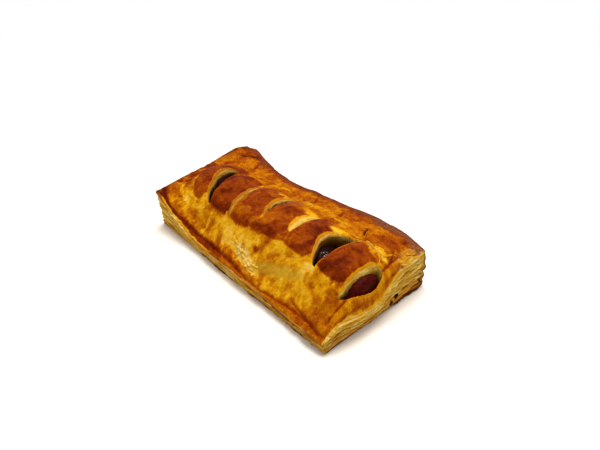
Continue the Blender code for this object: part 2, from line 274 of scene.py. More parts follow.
# named places: centre, half sizes, turn in degrees, bake, strength
bakeMarks = [
    ("dark side of the fifth strip", (42.5, -12.5), (2.4, 7.5), -22, 0.97, 0.85),
    ("dark foot of the third strip", (-8, -22.5), (9, 2.0), 2, 0.94, 0.55),
    ("dark foot of the second strip", (-29, -22.5), (8, 2.6), 0, 0.94, 0.55),
    ("dark foot of the fourth strip", (11, -20.8), (10, 2.0), 8, 0.93, 0.75),
    ("gold corner between them", (1.5, -19.5), (2.2, 3.4), -25, 0.55, 0.6),
    ("brown fleck below it", (13.5, -28.3), (1.8, 1.4), 10, 0.82, 0.95),
    ("brown fleck in front of the fifth", (29.5, -26.2), (2.2, 0.9), 12, 0.62, 0.6),
    ("dark fleck left", (-63.2, -29.4), (2.3, 0.8), 30, 0.93, 0.8),
    ("pale fleck beside it", (-60.4, -28.6), (3.2, 1.3), 12, 0.18, 0.85),
    ("orange patch on the second strip", (-31, 4), (5, 2.5), 15, 0.66, 0.6),
    ("orange patch on the third strip", (-10, 6), (5, 3), 15, 0.66, 0.6),
    ("orange patch on the fourth strip", (7, -14), (5, 4.5), 0, 0.52, 0.7),
    ("deep middle of the fifth strip", (36, -5), (5, 4.5), -10, 0.90, 0.75),
    ("orange front of the fifth strip", (34.5, -14.8), (4.5, 4.5), -10, 0.62, 0.75),
    ("orange top of the sixth strip", (59.5, 2), (4, 5), 0, 0.70, 0.6),
    ("dark middle of the sixth strip", (66.5, -12), (3, 6), 8, 0.93, 0.55),
    ("gold flank of the arc", (-65, 2), (1.6, 11), -28, 0.62, 0.5),
    ("deep patch on the fourth strip", (12.5, -1.5), (4.5, 5), 0, 0.88, 0.6),
    ("orange back of the fifth strip", (36, 4), (3.5, 5), 0, 0.84, 0.4),
    ("deep patch on the sixth strip", (68.5, -1), (2.6, 2.2), 0, 0.95, 0.6),
    ("deep foot of the sixth strip", (68, -18.5), (3.6, 2.2), 0, 0.90, 0.4),
    ("dark blister by the far corner", (72.3, 31.8), (2.3, 2.6), -20, 1.0, 0.95),
    ("dark near corner of the left end", (-75.5, -38), (4.5, 3.6), 0, 0.97, 0.9),
    ("brown slope beside it", (-71, -32), (5, 5), 0, 0.80, 0.5),
    ("gold shoulder of the left end", (-79, 17), (5, 11), -10, 0.44, 0.75),
    ("gold by the first crease", (-50, 24), (5, 3.5), 0, 0.46, 0.6),
    ("yellow tail of slit two", (-23.5, 9), (1.2, 4.5), -28, 0.36, 0.8),
    ("yellow behind slit three", (-8, 12.2), (5, 2.4), -8, 0.30, 0.75),
    ("yellow behind slit four", (20, 9.8), (6, 2.6), 0, 0.27, 0.8),
    ("gold behind slit four", (19, 20), (9, 4), -8, 0.38, 0.6),
    ("yellow behind slit five", (44, 7.5), (5, 3.2), 12, 0.20, 0.9),
    ("gold behind slit five", (43, 17), (8, 4), -10, 0.42, 0.6),
    ("pale web by the lip", (71.5, 11.6), (6.5, 2.6), -18, 0.27, 0.95),
    ("orange shoulder behind the sixth strip", (61, 20), (7, 4), -10, 0.62, 0.6),
    ("brown fold behind it", (66, 24), (7, 4), -10, 0.84, 0.6),
    ("pale corner of the open end", (80.5, 24), (3.6, 9), 8, 0.40, 0.85),
    ("brown flakes behind it", (76, 32.5), (4.5, 4), 0, 0.72, 0.7),
    ("yellow in front of slit five", (52.5, -23.0), (4.5, 2.2), 18, 0.18, 0.95),
    ("gold foot of slit one", (-44, -26), (4.5, 2.4), 15, 0.30, 0.8),
    ("yellow foot of slit two", (-19.5, -26.6), (4, 1.6), 5, 0.26, 0.7),
    ("orange near corner", (72, -33.5), (8, 4.0), -6, 0.62, 0.8),
    ("bright yellow before the third strip", (-10, -30.2), (7, 4.0), -12, 0.20, 0.85),
    ("bright yellow before the fourth strip", (3, -27.5), (7, 2.4), -6, 0.22, 0.8),
    ("yellow near corner", (59, -31.5), (5, 2.6), -10, 0.24, 0.6),
    ("yellow below the sixth strip", (62, -25), (5, 2.0), 0, 0.34, 0.6),
    ("orange front of the lip", (73, -28), (6, 3.0), 30, 0.60, 0.75),
]
# creases: a line of points, depth, width, bake, strength
creases = [
    ("behind slit one", [(-57.5, 30), (-54.5, 25.1), (-52.6, 21.9)], 1.0, 0.6, 0.92, 0.85),
    ("fold of the far left corner", [(-76, 27), (-71.7, 32.3), (-66, 35.2), (-61, 36.5)],
     0.9, 0.9, 0.96, 0.8),
    ("behind slit two", [(-24.6, 15), (-20.6, 20), (-15, 22), (-9, 21.4)], 0.6, 0.5, 0.9, 0.8),
    ("behind slit three", [(3.2, 31.9), (6.1, 26.7), (9.1, 22.3)], 1.0, 0.6, 0.88, 0.8),
    ("behind slit four", [(26.5, 29.7), (29.3, 25.8), (30.6, 22)], 1.2, 0.7, 0.88, 0.85),
    ("behind slit five", [(49.9, 26.5), (52.5, 21.1), (54.2, 16.7)], 1.5, 0.7, 0.95, 0.95),
    ("inside the lip", [(73.2, 20.2), (75.8, 15.2), (78.3, 10.5), (79.6, 6.3)], 1.3, 0.5, 0.86, 0.9),
    ("front tip of slit six", [(73.6, -24.6), (76.4, -24.2)], 1.0, 0.5, 0.95, 0.95),
    ("fold at the near corner", [(50, -34.6), (60.2, -36.3), (70.3, -37.5), (80, -39.7)],
     0.8, 0.5, 0.80, 0.75),
    ("second fold there", [(70, -35.6), (76, -38.6)], 0.6, 0.45, 0.74, 0.6),
]
# raised threads where the skin tore or curled: a line of points, height, width, bake, strength
threads = [
    ("sixth strip's back",
     [(60, 12.6), (63, 11), (65.2, 9.3), (69, 8.3), (71.9, 8.7), (74.7, 6.4), (76.5, 4)],
     0.8, 0.5, 0.16, 0.95),
    ("sixth strip's corner", [(51.1, 10.5), (53, 11.3), (56.2, 10.4), (58.5, 12.6)], 0.7, 0.45, 0.34, 0.85),
    ("curl beside crease five", [(51.6, 26.3), (54.6, 19.1), (57.6, 14.3)], 0.6, 0.6, 0.5, 0.7),
    ("end of slit three's cut", [(3.2, -12), (4.0, -15), (4.9, -18.6)], 0.3, 0.55, 0.34, 0.9),
    ("end of slit four's cut", [(27.6, -13.5), (29, -17), (29.9, -20.5)], 0.2, 0.5, 0.46, 0.8),
    ("end of slit two's cut", [(-20.4, -22.4), (-21, -25)], 0.3, 0.6, 0.28, 0.9),
    ("behind slit two", [(-25.2, 13), (-21.5, 17.6), (-15.2, 20.4), (-8.2, 19.4)], 0.6, 0.5, 0.36, 0.8),
    ("fourth strip's back", [(5.4, 15.4), (7.6, 17.4), (10.5, 18.1), (14.6, 17.4)], 0.6, 0.45, 0.26, 0.85),
    ("fifth strip's back", [(28.6, 15.6), (30.6, 17.5), (33.5, 17.6), (37.3, 16.9), (41, 14.6)],
     0.6, 0.45, 0.30, 0.85),
    ("second strip's back", [(-48.5, 9.6), (-45, 8.6), (-41.6, 6.6)], 0.4, 0.45, 0.46, 0.7),
    ("rolled back of the arc", [(-66, 15.5), (-60, 19.6), (-54, 20.4), (-48.5, 19.6)], 0.9, 1.5, 0.66, 0.5),
]
patch = dict(at=(9.8, -33.2), size=(13.5, 2.5), turn=-8, depth=0.5)      # skin flaked off low on the front
oilPatch = dict(at=(35, -29.9), size=(17, 2.2), turn=11)                 # thin, see-through dough


def mottling(x, y):
    # the patterns of noise that relief and bake share, from broad patches down to grain
    wobble = 0.8 * roughness(x, y, 5.0, 3)
    broad, fine = roughness(x, y, 9.0, 11), roughness(x, y, 2.4, 17)
    u, v = x + 1.6 * wobble, y + 1.3 * fine
    return SimpleNamespace(
        wobble=wobble, broad=broad, fine=fine, grain=roughness(x, y, 0.95, 89, 2),
        blotches=smooth(0.5 + 1.5 * roughness(u, v, 6.5, 81, 2)),
        crumpled=1 - np.abs(roughness(0.75 * u, 1.1 * v, 3.4, 85, 2)),
        streak=lumps(x / 2.2, y / 9.0, 1.0, 23),
        diagonal=lumps((x + 0.8 * y) / 8, (y - 0.8 * x) / 1.6, 1.0, 29),
    )


def glazed(x, y, n):
    # 1 on the egg-glazed strips, with mm from their front and back outlines
    b = bakeForm
    fromFront = y - np.interp(x, b["frontX"], b["frontY"]) - 0.35 * n.wobble
    fromBack = np.interp(x, b["backX"], b["backY"]) + 1.6 * n.wobble - y
    egg = smooth(fromFront / 0.9) * smooth(fromBack / 4.5)
    egg = egg * smooth((x + 69.5 - 0.12 * np.abs(y + 5)) / 2.0) * smooth(76.3 + 0.5 * n.wobble - x)
    return egg, fromFront, fromBack


def broadBake(x, y, foldedShare, egg, fromBack, n):
    # front slope, back slope, left shelf, browned folded edge and strips, then the named places over them
    b = bakeForm
    blotch, crumple = n.blotches - 0.45, n.crumpled - 0.6
    slope = b["slopeFront"] + 0.17 * blotch + 0.09 * n.fine + 0.06 * n.grain - 0.12 * crumple
    behind = b["slopeBack"] + 0.13 * blotch + 0.06 * n.fine + 0.04 * n.grain - 0.06 * crumple
    shelf = b["shelf"] + 0.20 * blotch + 0.09 * n.diagonal + 0.06 * n.grain
    bake = toward(slope, behind, smooth((y - 2) / 12))
    bake = toward(bake, shelf, smooth((-64 - x - 0.15 * y) / 7) * smooth((y + 30) / 10))
    bake = toward(bake, b["backEdge"] + 0.07 * n.fine + 0.08 * n.grain, foldedShare)
    beyond = ((fromRight < 0.5 * width).astype(int) for _, fromRight, width, _ in acrossSlits(x, y)[:5])
    strips = np.asarray(b["strips"])[sum(beyond)] + 0.15 * (n.blotches - 0.5) + 0.04 * n.broad
    bake = toward(bake, strips + 0.05 * (n.fine + n.streak + n.grain), egg)
    bake = bake - 0.12 * egg * smooth((3.0 - fromBack) / 4.0)
    for _, at, size, turn, target, strength in bakeMarks:
        spread = blob(x + 1.1 * n.wobble, y - 0.9 * n.fine, at, size, turn)
        bake = toward(bake, target + 0.07 * n.fine + 0.05 * n.grain, strength * spread)
    return bake


def pressRim(skin, x, fromRim, n):
    # pressed rim: a dark groove wavering along it, rolled up on both sides, browned and torn outside
    zero = 0 * x
    taper = smooth((x + 82) / 10)
    away = fromRim - np.interp(x, pressedGroove["x"], pressedGroove["inset"]) - 0.3 * lumps(x, zero, 6.0, 41)
    groove = hump(away, 0.95)
    rolled = hump(away + 1.9, 1.0) + 0.7 * hump(away - 2.0, 1.2)
    skin.relief = skin.relief + taper * (0.5 * rolled - (0.9 + 0.3 * lumps(x, zero, 3.0, 43)) * groove)
    crimp = 0.94 - 0.16 * smooth((x + 16) / 14) + 0.06 * n.fine + 0.05 * n.grain
    rightHalf = smooth(x / 30)
    browned = smooth((2.4 - 1.2 * rightHalf + 0.9 * n.broad - away) / 2.0)
    skin.bake = toward(skin.bake, crimp, browned * (0.82 - 0.25 * rightHalf + 0.18 * groove))
    skin.bake = toward(skin.bake, 0.88, 0.6 * hump(away, 0.6) * taper)
    torn = smooth((1.5 + 0.6 * n.fine + 0.5 * n.broad - fromRim) / 0.8) * smooth((x + 75) / 5)
    skin.bake = toward(skin.bake, 0.24 + 0.16 * n.fine, torn * (1 - 0.7 * smooth((x + 25) / 15)))


def rollLip(skin, y, fromRim, n):
    # rolled lip of the open end, with a pale line on each side of it
    alongLip = within(y, -36, 22, 6, 5)
    lip = hump(fromRim - 2.5, 1.7) * alongLip
    lipBake = 0.42 + 0.14 * lumps(y, 0 * y, 3.0, 47) + 0.06 * n.grain
    skin.bake = toward(skin.bake, lipBake, np.clip(1.4 * lip, 0, 1))
    skin.bake = toward(skin.bake, 0.13 + 0.12 * n.fine, smooth((0.9 + 0.4 * n.fine - fromRim) / 0.6))
    skin.bake = skin.bake + (0.34 * hump(fromRim - 4.9, 0.6) + 0.26 * hump(fromRim - 1.0, 0.4)) * alongLip
    skin.relief = skin.relief + 0.30 * lip * lumps(y, 0 * y, 2.4, 49) + 0.6 * lip


def curlRim(skin, fromRim, n):
    # curled rim of the closed end, with a shallow dip inside it
    rimBake = 0.88 + 0.08 * n.fine + 0.06 * n.grain
    skin.bake = toward(skin.bake, rimBake, smooth((2.4 + 1.6 * n.broad - fromRim) / 2.4))
    skin.relief = skin.relief + 0.7 * hump(fromRim - 1.4, 1.2) - 0.5 * hump(fromRim - 4.2, 1.6)


def creaseAndTear(skin, x, y, n):
    # creases cut down between low swells, their ends narrowing as sqrt(1 - q^2), and raised threads
    for _, line, depth, width, target, strength in creases:
        away, share = alongPath(x + 0.25 * n.fine, y, line)
        ends = np.sqrt(np.clip(1 - (2 * share - 1) ** 2, 0, 1)) * (away < 6)
        crease = hump(away, width) * ends
        skin.relief = skin.relief - depth * crease + 0.35 * depth * hump(away - 2.2 * width, width) * ends
        skin.bake = toward(skin.bake, target, strength * np.clip(1.2 * crease, 0, 1))
    for _, line, height, width, target, strength in threads:
        away, share = alongPath(x + 0.35 * n.fine, y + 0.3 * n.broad, line)
        ridge = hump(away, width) * smooth(4 * np.minimum(share, 1 - share)) * (away < 6)
        skin.relief = skin.relief + height * ridge
        skin.bake = toward(skin.bake, target + 0.1 * n.fine, strength * ridge)


def flakeAway(skin, x, y, n):
    # flaked patch: sunk, with ragged steps; and the fibres at the far corner of the open end
    flaked = blob(x + 1.4 * n.wobble, y + 0.5 * n.fine, patch["at"], patch["size"], patch["turn"], 0.35)
    steps = np.round(2.2 * roughness(x * 0.55, y * 1.6, 2.4, 53)) / 2.2
    skin.relief = skin.relief + flaked * (0.35 * steps - patch["depth"])
    skin.bake = toward(skin.bake, 0.10 + 0.14 * n.fine, flaked * smooth(0.9 + 0.3 * steps))
    corner = blob(x, y, (80, 26), (4.0, 11), 8, 0.4)
    fibres = lumps((x + 0.3 * n.wobble) / 0.55, y / 4.5, 1.0, 59)
    ledges = np.round(1.8 * roughness(x * 1.3, y * 0.6, 3.0, 57)) / 1.8
    skin.relief = skin.relief + corner * (0.5 * ledges + 0.22 * fibres)
    skin.bake = skin.bake + 0.26 * corner * fibres
    skin.raw = np.maximum(0.25 * flaked * smooth(0.6 + 0.8 * steps), 0.5 * corner * smooth(0.7 + n.fine))


def bakedSkin(x, y, inward):
    # relief in mm, and the masks that the material reads, for every point of the top
    n = mottling(x, y)
    egg, fromFront, fromBack = glazed(x, y, n)
    toEdge = 6.5 + 3.5 * smooth((x - 38) / 10) + 3.0 * n.broad - inward["back"]
    blisters = np.clip(roughness(x, y, 2.1, 37) - 0.15, 0, 1) * (1 - egg)
    relief = 0.20 * n.broad + 0.12 * n.fine + 0.08 * n.grain + 0.5 * blisters
    relief = relief + 0.5 * egg * smooth(fromFront / 1.6) + 0.75 * (n.crumpled - 0.6) * (1 - 0.8 * egg)
    bake = broadBake(x, y, smooth((toEdge + 2) / 6), egg, fromBack, n)
    skin = SimpleNamespace(relief=relief, bake=bake, egg=egg)
    pressRim(skin, x, inward["front"], n)
    rollLip(skin, y, inward["right"], n)
    curlRim(skin, inward["left"], n)
    skin.bake = np.where(egg > 0.5, np.minimum(skin.bake, 0.95), skin.bake)
    creaseAndTear(skin, x, y, n)
    flakeAway(skin, x, y, n)
    burnt = smooth(toEdge / 4) * (0.45 + 0.55 * smooth((x - 30) / 20))
    burnt = burnt + 0.35 * smooth((3 - inward["left"]) / 2) + 0.12 * egg * smooth((-57 - x) / 3)
    skin.burnt = np.clip(burnt, 0, 1)
    skin.oily = blob(x + n.wobble, y + 0.4 * n.fine, oilPatch["at"], oilPatch["size"], oilPatch["turn"], 0.4)
    return skin


crustGrid = dict(along=372, across=206, wallRings=20, crowding=2.4)      # cells, and rings down the side


def blurred(a, cells, axis):
    # running mean over this many cells, three times, which is close to a bell curve
    kernel = np.ones(cells) / cells
    for _ in range(3):
        padded = np.pad(a, [(cells // 2, cells // 2) if k == axis else (0, 0) for k in range(2)], mode="edge")
        a = np.apply_along_axis(lambda line: np.convolve(line, kernel, mode="valid"), axis, padded)
    return a


def crowdedShares():
    # shares s of the length for each row t, closer together where that row crosses a slit's walls
    fine = np.linspace(0, 1, 1201)
    rows = np.linspace(0, 1, crustGrid["across"] + 1)
    s, t = np.meshgrid(fine, rows, indexing="ij")
    top, _ = plainTop(s, t)
    lowered = cutSlits(top[..., 0], top[..., 1], top[..., 2])[0]
    steep = np.clip(np.abs(np.gradient(lowered - top[..., 2], axis=0)) / 0.12, 0, 3)
    steep = blurred(blurred(steep, 9, 0), 7, 1)
    passed = np.cumsum(1 + crustGrid["crowding"] * steep, axis=0)
    passed = (passed - passed[:1]) / (passed[-1:] - passed[:1])
    even = np.linspace(0, 1, crustGrid["along"] + 1)
    s = np.stack([np.interp(even, passed[:, j], fine) for j in range(len(rows))], 1)
    return s, np.broadcast_to(rows, s.shape)


def wallPoints(rim, share, f):
    # from the rim (f = 0) down to the base outline (f = 1), moving inward as f^1.6
    c = crustForm
    baseX = c["baseX"][0] + (c["baseX"][1] - c["baseX"][0]) * share[:, 0]
    baseY = c["baseY"][0] + (c["baseY"][1] - c["baseY"][0]) * share[:, 1]
    base = np.stack([baseX, baseY, 0 * baseX], -1)
    points = rim + (base - rim) * np.asarray(f)[..., None] ** 1.6
    points[..., 2] = rim[..., 2] * (1 - np.asarray(f))
    return points


laid = {}      # points of the crust's top, kept for what lies on it
holesAtOpenEnd = [(13.5, 5.2, 1.8, 1.0), (8.6, 3.6, 1.6, 0.9), (33.5, 4.6, 1.2, 1.6)]      # y, z, half sizes


def holesBurntAndShaded(points):
    # 1 inside the small holes low on the open end; they are coloured darkest bake with painted shade over it
    found = [blob(points[..., 1], points[..., 2], (y, z), (a, b), 20) for y, z, a, b in holesAtOpenEnd]
    return np.maximum.reduce(found) * (points[..., 0] > 75)


def flakyPlaces(x, y):
    # how likely a loose flake is at each point of the top
    worn = blob(x, y, patch["at"], (15, 2.2), patch["turn"], 0.25)
    return worn + 0.2 * blob(x, y, (80.5, 25), (3, 9), 8, 0.3) + 0.2 * blob(x, y, (71, 12), (6, 2), -15)


def crustWall(rim, share):
    # rings of points from the rim down, each with its masks: the folded side bulges out between two pleats,
    # and the cut sides fall in behind their layers
    folded, pressed = share[:, 1] > 0.999, share[:, 1] < 0.001
    outX = (share[:, 0] > 0.999) * 1.0 - (share[:, 0] < 0.001)
    outward = np.stack([outX, folded * 1.0 - pressed, 0 * outX], -1)
    outward /= np.linalg.norm(outward, axis=1)[:, None]
    rings, masks = [], []
    for f in np.linspace(0, 1, crustGrid["wallRings"] + 1)[1:]:
        ring = wallPoints(rim, share, np.full(len(rim), f))
        x, zero = ring[:, 0], 0 * ring[:, 0]
        swing, low = np.sin(np.pi * f), smooth((f - 0.8) / 0.2)
        dents = roughness(x + ring[:, 1], ring[:, 2] * 1.7, 6.0, 61)
        waver = 0.06 * lumps(x, zero, 16.0, 63)
        pleat = hump(f - 0.36 - waver, 0.05) * smooth(0.7 + lumps(x, zero, 22.0, 65))
        pleat = pleat + hump(f - 0.66 + waver, 0.04)
        push = np.where(folded, (crustForm["foldBulge"] + 0.9 * dents) * swing - 0.6 * pleat, -1.2 * swing)
        rings.append(ring + outward * push[:, None])
        foldBake = 0.86 - 0.26 * smooth(f * 1.6) + 0.25 * low + 0.14 * dents + 0.16 * pleat
        bake = np.where(folded, foldBake, 0.2 + 0.1 * dents + 0.5 * low)
        # the holes: darkest bake, and painted shade for their dark insides
        holes = holesBurntAndShaded(ring)
        masks.append(dict(
            bake=toward(bake, 1.0, holes), cut=np.where(folded, 0.0, 1.0 * (f < 0.9)), deep=0.8 * holes,
            burnt=np.where(folded, 0.6 * smooth(1 - 1.5 * f), 0.0), egg=zero, oily=zero,
        ))
    return rings, masks


def gridQuads(number):
    # one face for each cell of a grid of point numbers
    return np.stack([number[:-1, :-1], number[1:, :-1], number[1:, 1:], number[:-1, 1:]], -1).reshape(-1, 4)


def gridEdge(number):
    # the numbers round the outside of a grid, in order
    return np.concatenate([number[:-1, 0], number[-1, :-1], number[:0:-1, -1], number[0, :0:-1]])


def crustMesh():
    # the top as a grid of points, its edge carried down to the flat base in rings, and one face under it
    s, t = crowdedShares()
    top, inward = plainTop(s, t)
    x, y = top[..., 0], top[..., 1]
    skin = bakedSkin(x, y, inward)
    edgeFade = smooth(np.minimum.reduce(list(inward.values())) / 1.2)
    beside = sum((hump(a, 1.6) + hump(b, 1.6)) * share for a, b, _, share in acrossSlits(x, y))
    top[..., 2] += skin.relief * (0.25 + 0.75 * edgeFade) * (1 - 0.85 * np.clip(beside, 0, 1))
    top[..., 2], slitRaw, sharp, deep, lipped, tone = cutSlits(x, y, top[..., 2])
    top[..., 2] += 0.2 * sharp
    whole = 1 - slitRaw
    bake = toward(skin.bake, 0.34, 0.7 * sharp * whole)
    bake = toward(bake, 0.26 + 0.25 * tone, 0.85 * lipped)
    # down in the slits the painted shade takes the place of raw dough
    masks = dict(
        bake=toward(bake, tone, slitRaw), cut=np.maximum(slitRaw * (1 - deep), skin.raw),
        egg=skin.egg * whole, burnt=skin.burnt * whole, oily=skin.oily, deep=deep,
    )
    number = np.arange(s.size).reshape(s.shape)
    edge, points = gridEdge(number), top.reshape(-1, 3)
    laid["top"] = points.copy()
    laid["flaky"] = (flakyPlaces(x, y) * (1 - skin.egg) * whole).ravel()
    rings, ringMasks = crustWall(points[edge], np.stack([s.ravel()[edge], t.ravel()[edge]], -1))
    quads, upper = [gridQuads(number)], edge
    for k in range(len(rings)):
        lower = s.size + k * len(edge) + np.arange(len(edge))
        quads.append(np.stack([upper, lower, np.roll(lower, -1), np.roll(upper, -1)], -1))
        upper = lower
    faces = np.concatenate(quads).tolist() + [upper[::-1].tolist()]
    masks = {name: np.concatenate([mask.ravel()] + [ring[name] for ring in ringMasks])
             for name, mask in masks.items()}
    return np.concatenate([points] + rings), faces, masks


def addMesh(name, points, faces, masks, material):
    # a smooth-shaded object at the origin; points in mm, each mask a number for each point
    mesh = bpy.data.meshes.new(name)
    mesh.from_pydata((points * mm).tolist(), [], faces)
    for label in masks:
        values = np.ascontiguousarray(masks[label], np.float32)
        mesh.attributes.new(label, "FLOAT", "POINT").data.foreach_set("value", values)
    mesh.materials.append(material)
    mesh.shade_smooth()
    piece = bpy.data.objects.new(name, mesh)
    bpy.context.scene.collection.objects.link(piece)
    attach(piece, "root")
    return piece


# layers: thin closed ribbons of dough round the three cut sides

layerForm = dict(count=12, stations=860, sides=8, reach=1.3, lengths=(81.0, 158.0, 79.0))


def sidePath(u):
    # rim and base shares along the left end (from the back), the pressed side and the open end
    passed = np.concatenate([[0], np.cumsum(layerForm["lengths"])]) / sum(layerForm["lengths"])
    s = np.interp(u, passed, (0, 0, 1, 1))
    t = np.interp(u, passed, (1, 0, 0, 1))
    front, _, left, right = rims(s, t)
    rim = np.where((u < passed[1])[:, None], left, np.where((u > passed[2])[:, None], right, front))
    return rim, np.stack([s, t], -1), passed


def joinedTubes(parts):
    # each part is rings of points (station, side, xyz) and its masks; rings are joined and both ends capped
    faces, start = [], 0
    for points, _ in parts:
        number = start + np.arange(points.shape[0] * points.shape[1]).reshape(points.shape[:2])
        after = np.roll(number, -1, axis=1)
        faces += np.stack([number[:-1], after[:-1], after[1:], number[1:]], -1).reshape(-1, 4).tolist()
        faces += [number[0].tolist(), number[-1, ::-1].tolist()]
        start += number.size
    masks = {name: np.concatenate([part[name].ravel() for _, part in parts]) for name in parts[0][1]}
    return np.concatenate([points.reshape(-1, 3) for points, _ in parts]), faces, masks


def layerMesh():
    # each ribbon is an oval section carried along the side at its own height; reach and height waver
    c = layerForm
    u = np.linspace(0, 1, c["stations"])
    rim, share, passed = sidePath(u)
    step = np.gradient(rim[:, :2], axis=0)
    for axis in range(2):
        step[:, axis] = np.convolve(np.pad(step[:, axis], 9, mode="edge"), np.ones(19) / 19, mode="valid")
    outward = np.stack([step[:, 1], -step[:, 0]], -1)
    outward /= np.linalg.norm(outward, axis=1)[:, None]
    mmAlong, zero = u * sum(c["lengths"]), 0 * u
    angle = np.linspace(0, 2 * np.pi, c["sides"], endpoint=False)
    tip = 0.5 + 0.5 * np.cos(angle)
    ends = smooth(np.minimum(u, 1 - u) / 0.004)
    closedEnd, openEnd = smooth((passed[1] * 1.25 - u) / 0.05), smooth((u - passed[2]) / 0.01)
    parts = []
    for k in range(c["count"]):
        place = (k + 0.5) / c["count"]
        wander = 0.8 * lumps(mmAlong, zero + 5 * k, 21.0, 100 + k)
        wander = wander + 0.4 * lumps(mmAlong, zero + 5 * k, 6.0, 120 + k)
        f = np.clip(place + wander / c["count"], 0.03, 0.965)
        centre = wallPoints(rim, share, f)
        ragged = lumps(mmAlong, zero, 4.5, 140 + k) + 0.6 * lumps(mmAlong, zero, 1.3, 160 + k)
        far = 0.55 + 0.55 * lumps(mmAlong, zero, 34.0, 240 + k) + 0.35 * ragged
        reach = (c["reach"] * far * (1 - 0.45 * closedEnd) - 0.5 * np.sin(np.pi * f)) * ends
        thick = rim[:, 2] / c["count"] * (0.52 + 0.16 * lumps(mmAlong, zero, 9.0, 180 + k))
        thick = np.clip(thick, 0.28, 1.5) * (0.05 + 0.95 * ends)
        out = -1.2 + (reach[:, None] + 1.2) * tip
        rise = thick[:, None] * np.sin(angle) * (1 - 0.35 * np.cos(angle))
        curl = 0.35 * lumps(mmAlong, zero, 8.0, 200 + k)[:, None] * tip
        points = np.zeros((len(u), len(angle), 3))
        points[..., :2] = centre[:, None, :2] + outward[:, None] * out[..., None]
        points[..., 2] = np.maximum(centre[:, None, 2] + rise + curl, 0.02)

        # browned skin on the lowest and highest ribbons, and stains that deepen towards the open end
        crimped = 0.45 * smooth((rim[:, 0] + 55) / 30) * (1 - openEnd) * smooth((0.34 - place) / 0.15)
        skin = 0.60 * closedEnd * smooth((0.16 - place) / 0.1) + 0.66 * smooth((place - 0.84) / 0.1) + crimped
        stain = 0.16 * lumps(mmAlong, zero, 12.0, 220 + k) + 0.12 * smooth((place - 0.55) / 0.3)
        stain = stain + 0.22 * openEnd * smooth((place - 0.35) / 0.3) + 0.3 * smooth((u - 0.985) / 0.012)
        stain = stain + 0.20 * smooth((rim[:, 0] - 5) / 30) * (1 - openEnd) * (1 - closedEnd)
        # the holes: darkest bake, and painted shade for their dark insides
        holes = holesBurntAndShaded(points)
        tint = (skin + stain + 0.30)[:, None] + (0.10 * ragged[:, None] - 0.24) * tip
        bare = np.clip(1 - 1.3 * skin - 0.6 * smooth((stain - 0.1) / 0.4), 0.1, 1)[:, None]
        parts.append((points, dict(bake=toward(tint, 1.0, holes), cut=bare * (1 - holes), deep=0.8 * holes)))
    return joinedTubes(parts)


# loose flakes and curled threads of dough lying on the crust

flakeForm = dict(count=26, cells=(9, 4), long=(1.6, 4.4), wide=(0.4, 0.9), thick=0.06, curl=0.08)
curlForm = dict(stations=44, sides=8, halfWidth=0.62, halfThick=0.17, tilt=52)


def heightUnder(x, y):
    # height of the nearest point of the crust's top
    top = laid["top"]
    away = (x[:, None] - top[:, 0]) ** 2 + (y[:, None] - top[:, 1]) ** 2
    return top[np.argmin(away, axis=1), 2]


def closedSheets(upper, lower, masks):
    # joins pairs of grids (sheet, u, v, xyz) round their edges into closed sheets
    count, rows, columns = upper.shape[:3]
    cells = np.arange(rows * columns).reshape(rows, columns)
    top, edge = gridQuads(cells), gridEdge(cells)
    under, after = rows * columns, np.roll(edge, -1)
    sides = np.stack([edge, edge + under, after + under, after], -1)
    faces = np.concatenate([top, top[:, ::-1] + under, sides])
    points = np.concatenate([upper.reshape(count, -1, 3), lower.reshape(count, -1, 3)], 1)
    faces = (faces[None] + 2 * under * np.arange(count)[:, None, None]).reshape(-1, 4)
    masks = {name: np.repeat(values, 2 * under) for name, values in masks.items()}
    return points.reshape(-1, 3), faces.tolist(), masks


def flakeMesh():
    # each flake is a small sheet whose outline narrows as sqrt(1 - u^2), curled up as u^2 and tilted a little
    c = flakeForm
    random = np.random.default_rng(301)
    chosen = random.choice(len(laid["top"]), c["count"], p=laid["flaky"] / laid["flaky"].sum())
    place = laid["top"][chosen]
    u, v = np.meshgrid(*(np.linspace(-1, 1, cells + 1) for cells in c["cells"]), indexing="ij")

    def draw(low, high):
        return random.uniform(low, high, (c["count"], 1, 1))

    turn = np.radians(np.where(place[:, 1] < -20, -12, 60))[:, None, None] + draw(-0.25, 0.25)
    a = draw(*c["long"]) * u
    b = draw(*c["wide"]) * v * np.sqrt(1.04 - u * u) * (1 + draw(-0.4, 0.4) * u)
    rise = 0.02 + c["curl"] * draw(0, 1) * u * u + draw(-0.05, 0.05) * u + draw(0, 0.10) * (v + 1)
    x = place[:, 0, None, None] + a * np.cos(turn) - b * np.sin(turn)
    y = place[:, 1, None, None] + a * np.sin(turn) + b * np.cos(turn)
    slope = 0.30 * smooth((-18 - place[:, 1]) / 6) - 0.22 * smooth((place[:, 1] - 12) / 6)
    z = place[:, 2, None, None] + rise + slope[:, None, None] * (y - place[:, 1, None, None])
    upper = np.stack([x, y, z], -1)
    lower = upper - np.array([0, 0, c["thick"]])
    bake = random.uniform(0.06, 0.26, c["count"]) + 0.3 * (place[:, 0] > 60)
    masks = dict(bake=bake, cut=random.uniform(0, 0.4, c["count"]))
    return closedSheets(upper, lower, masks)


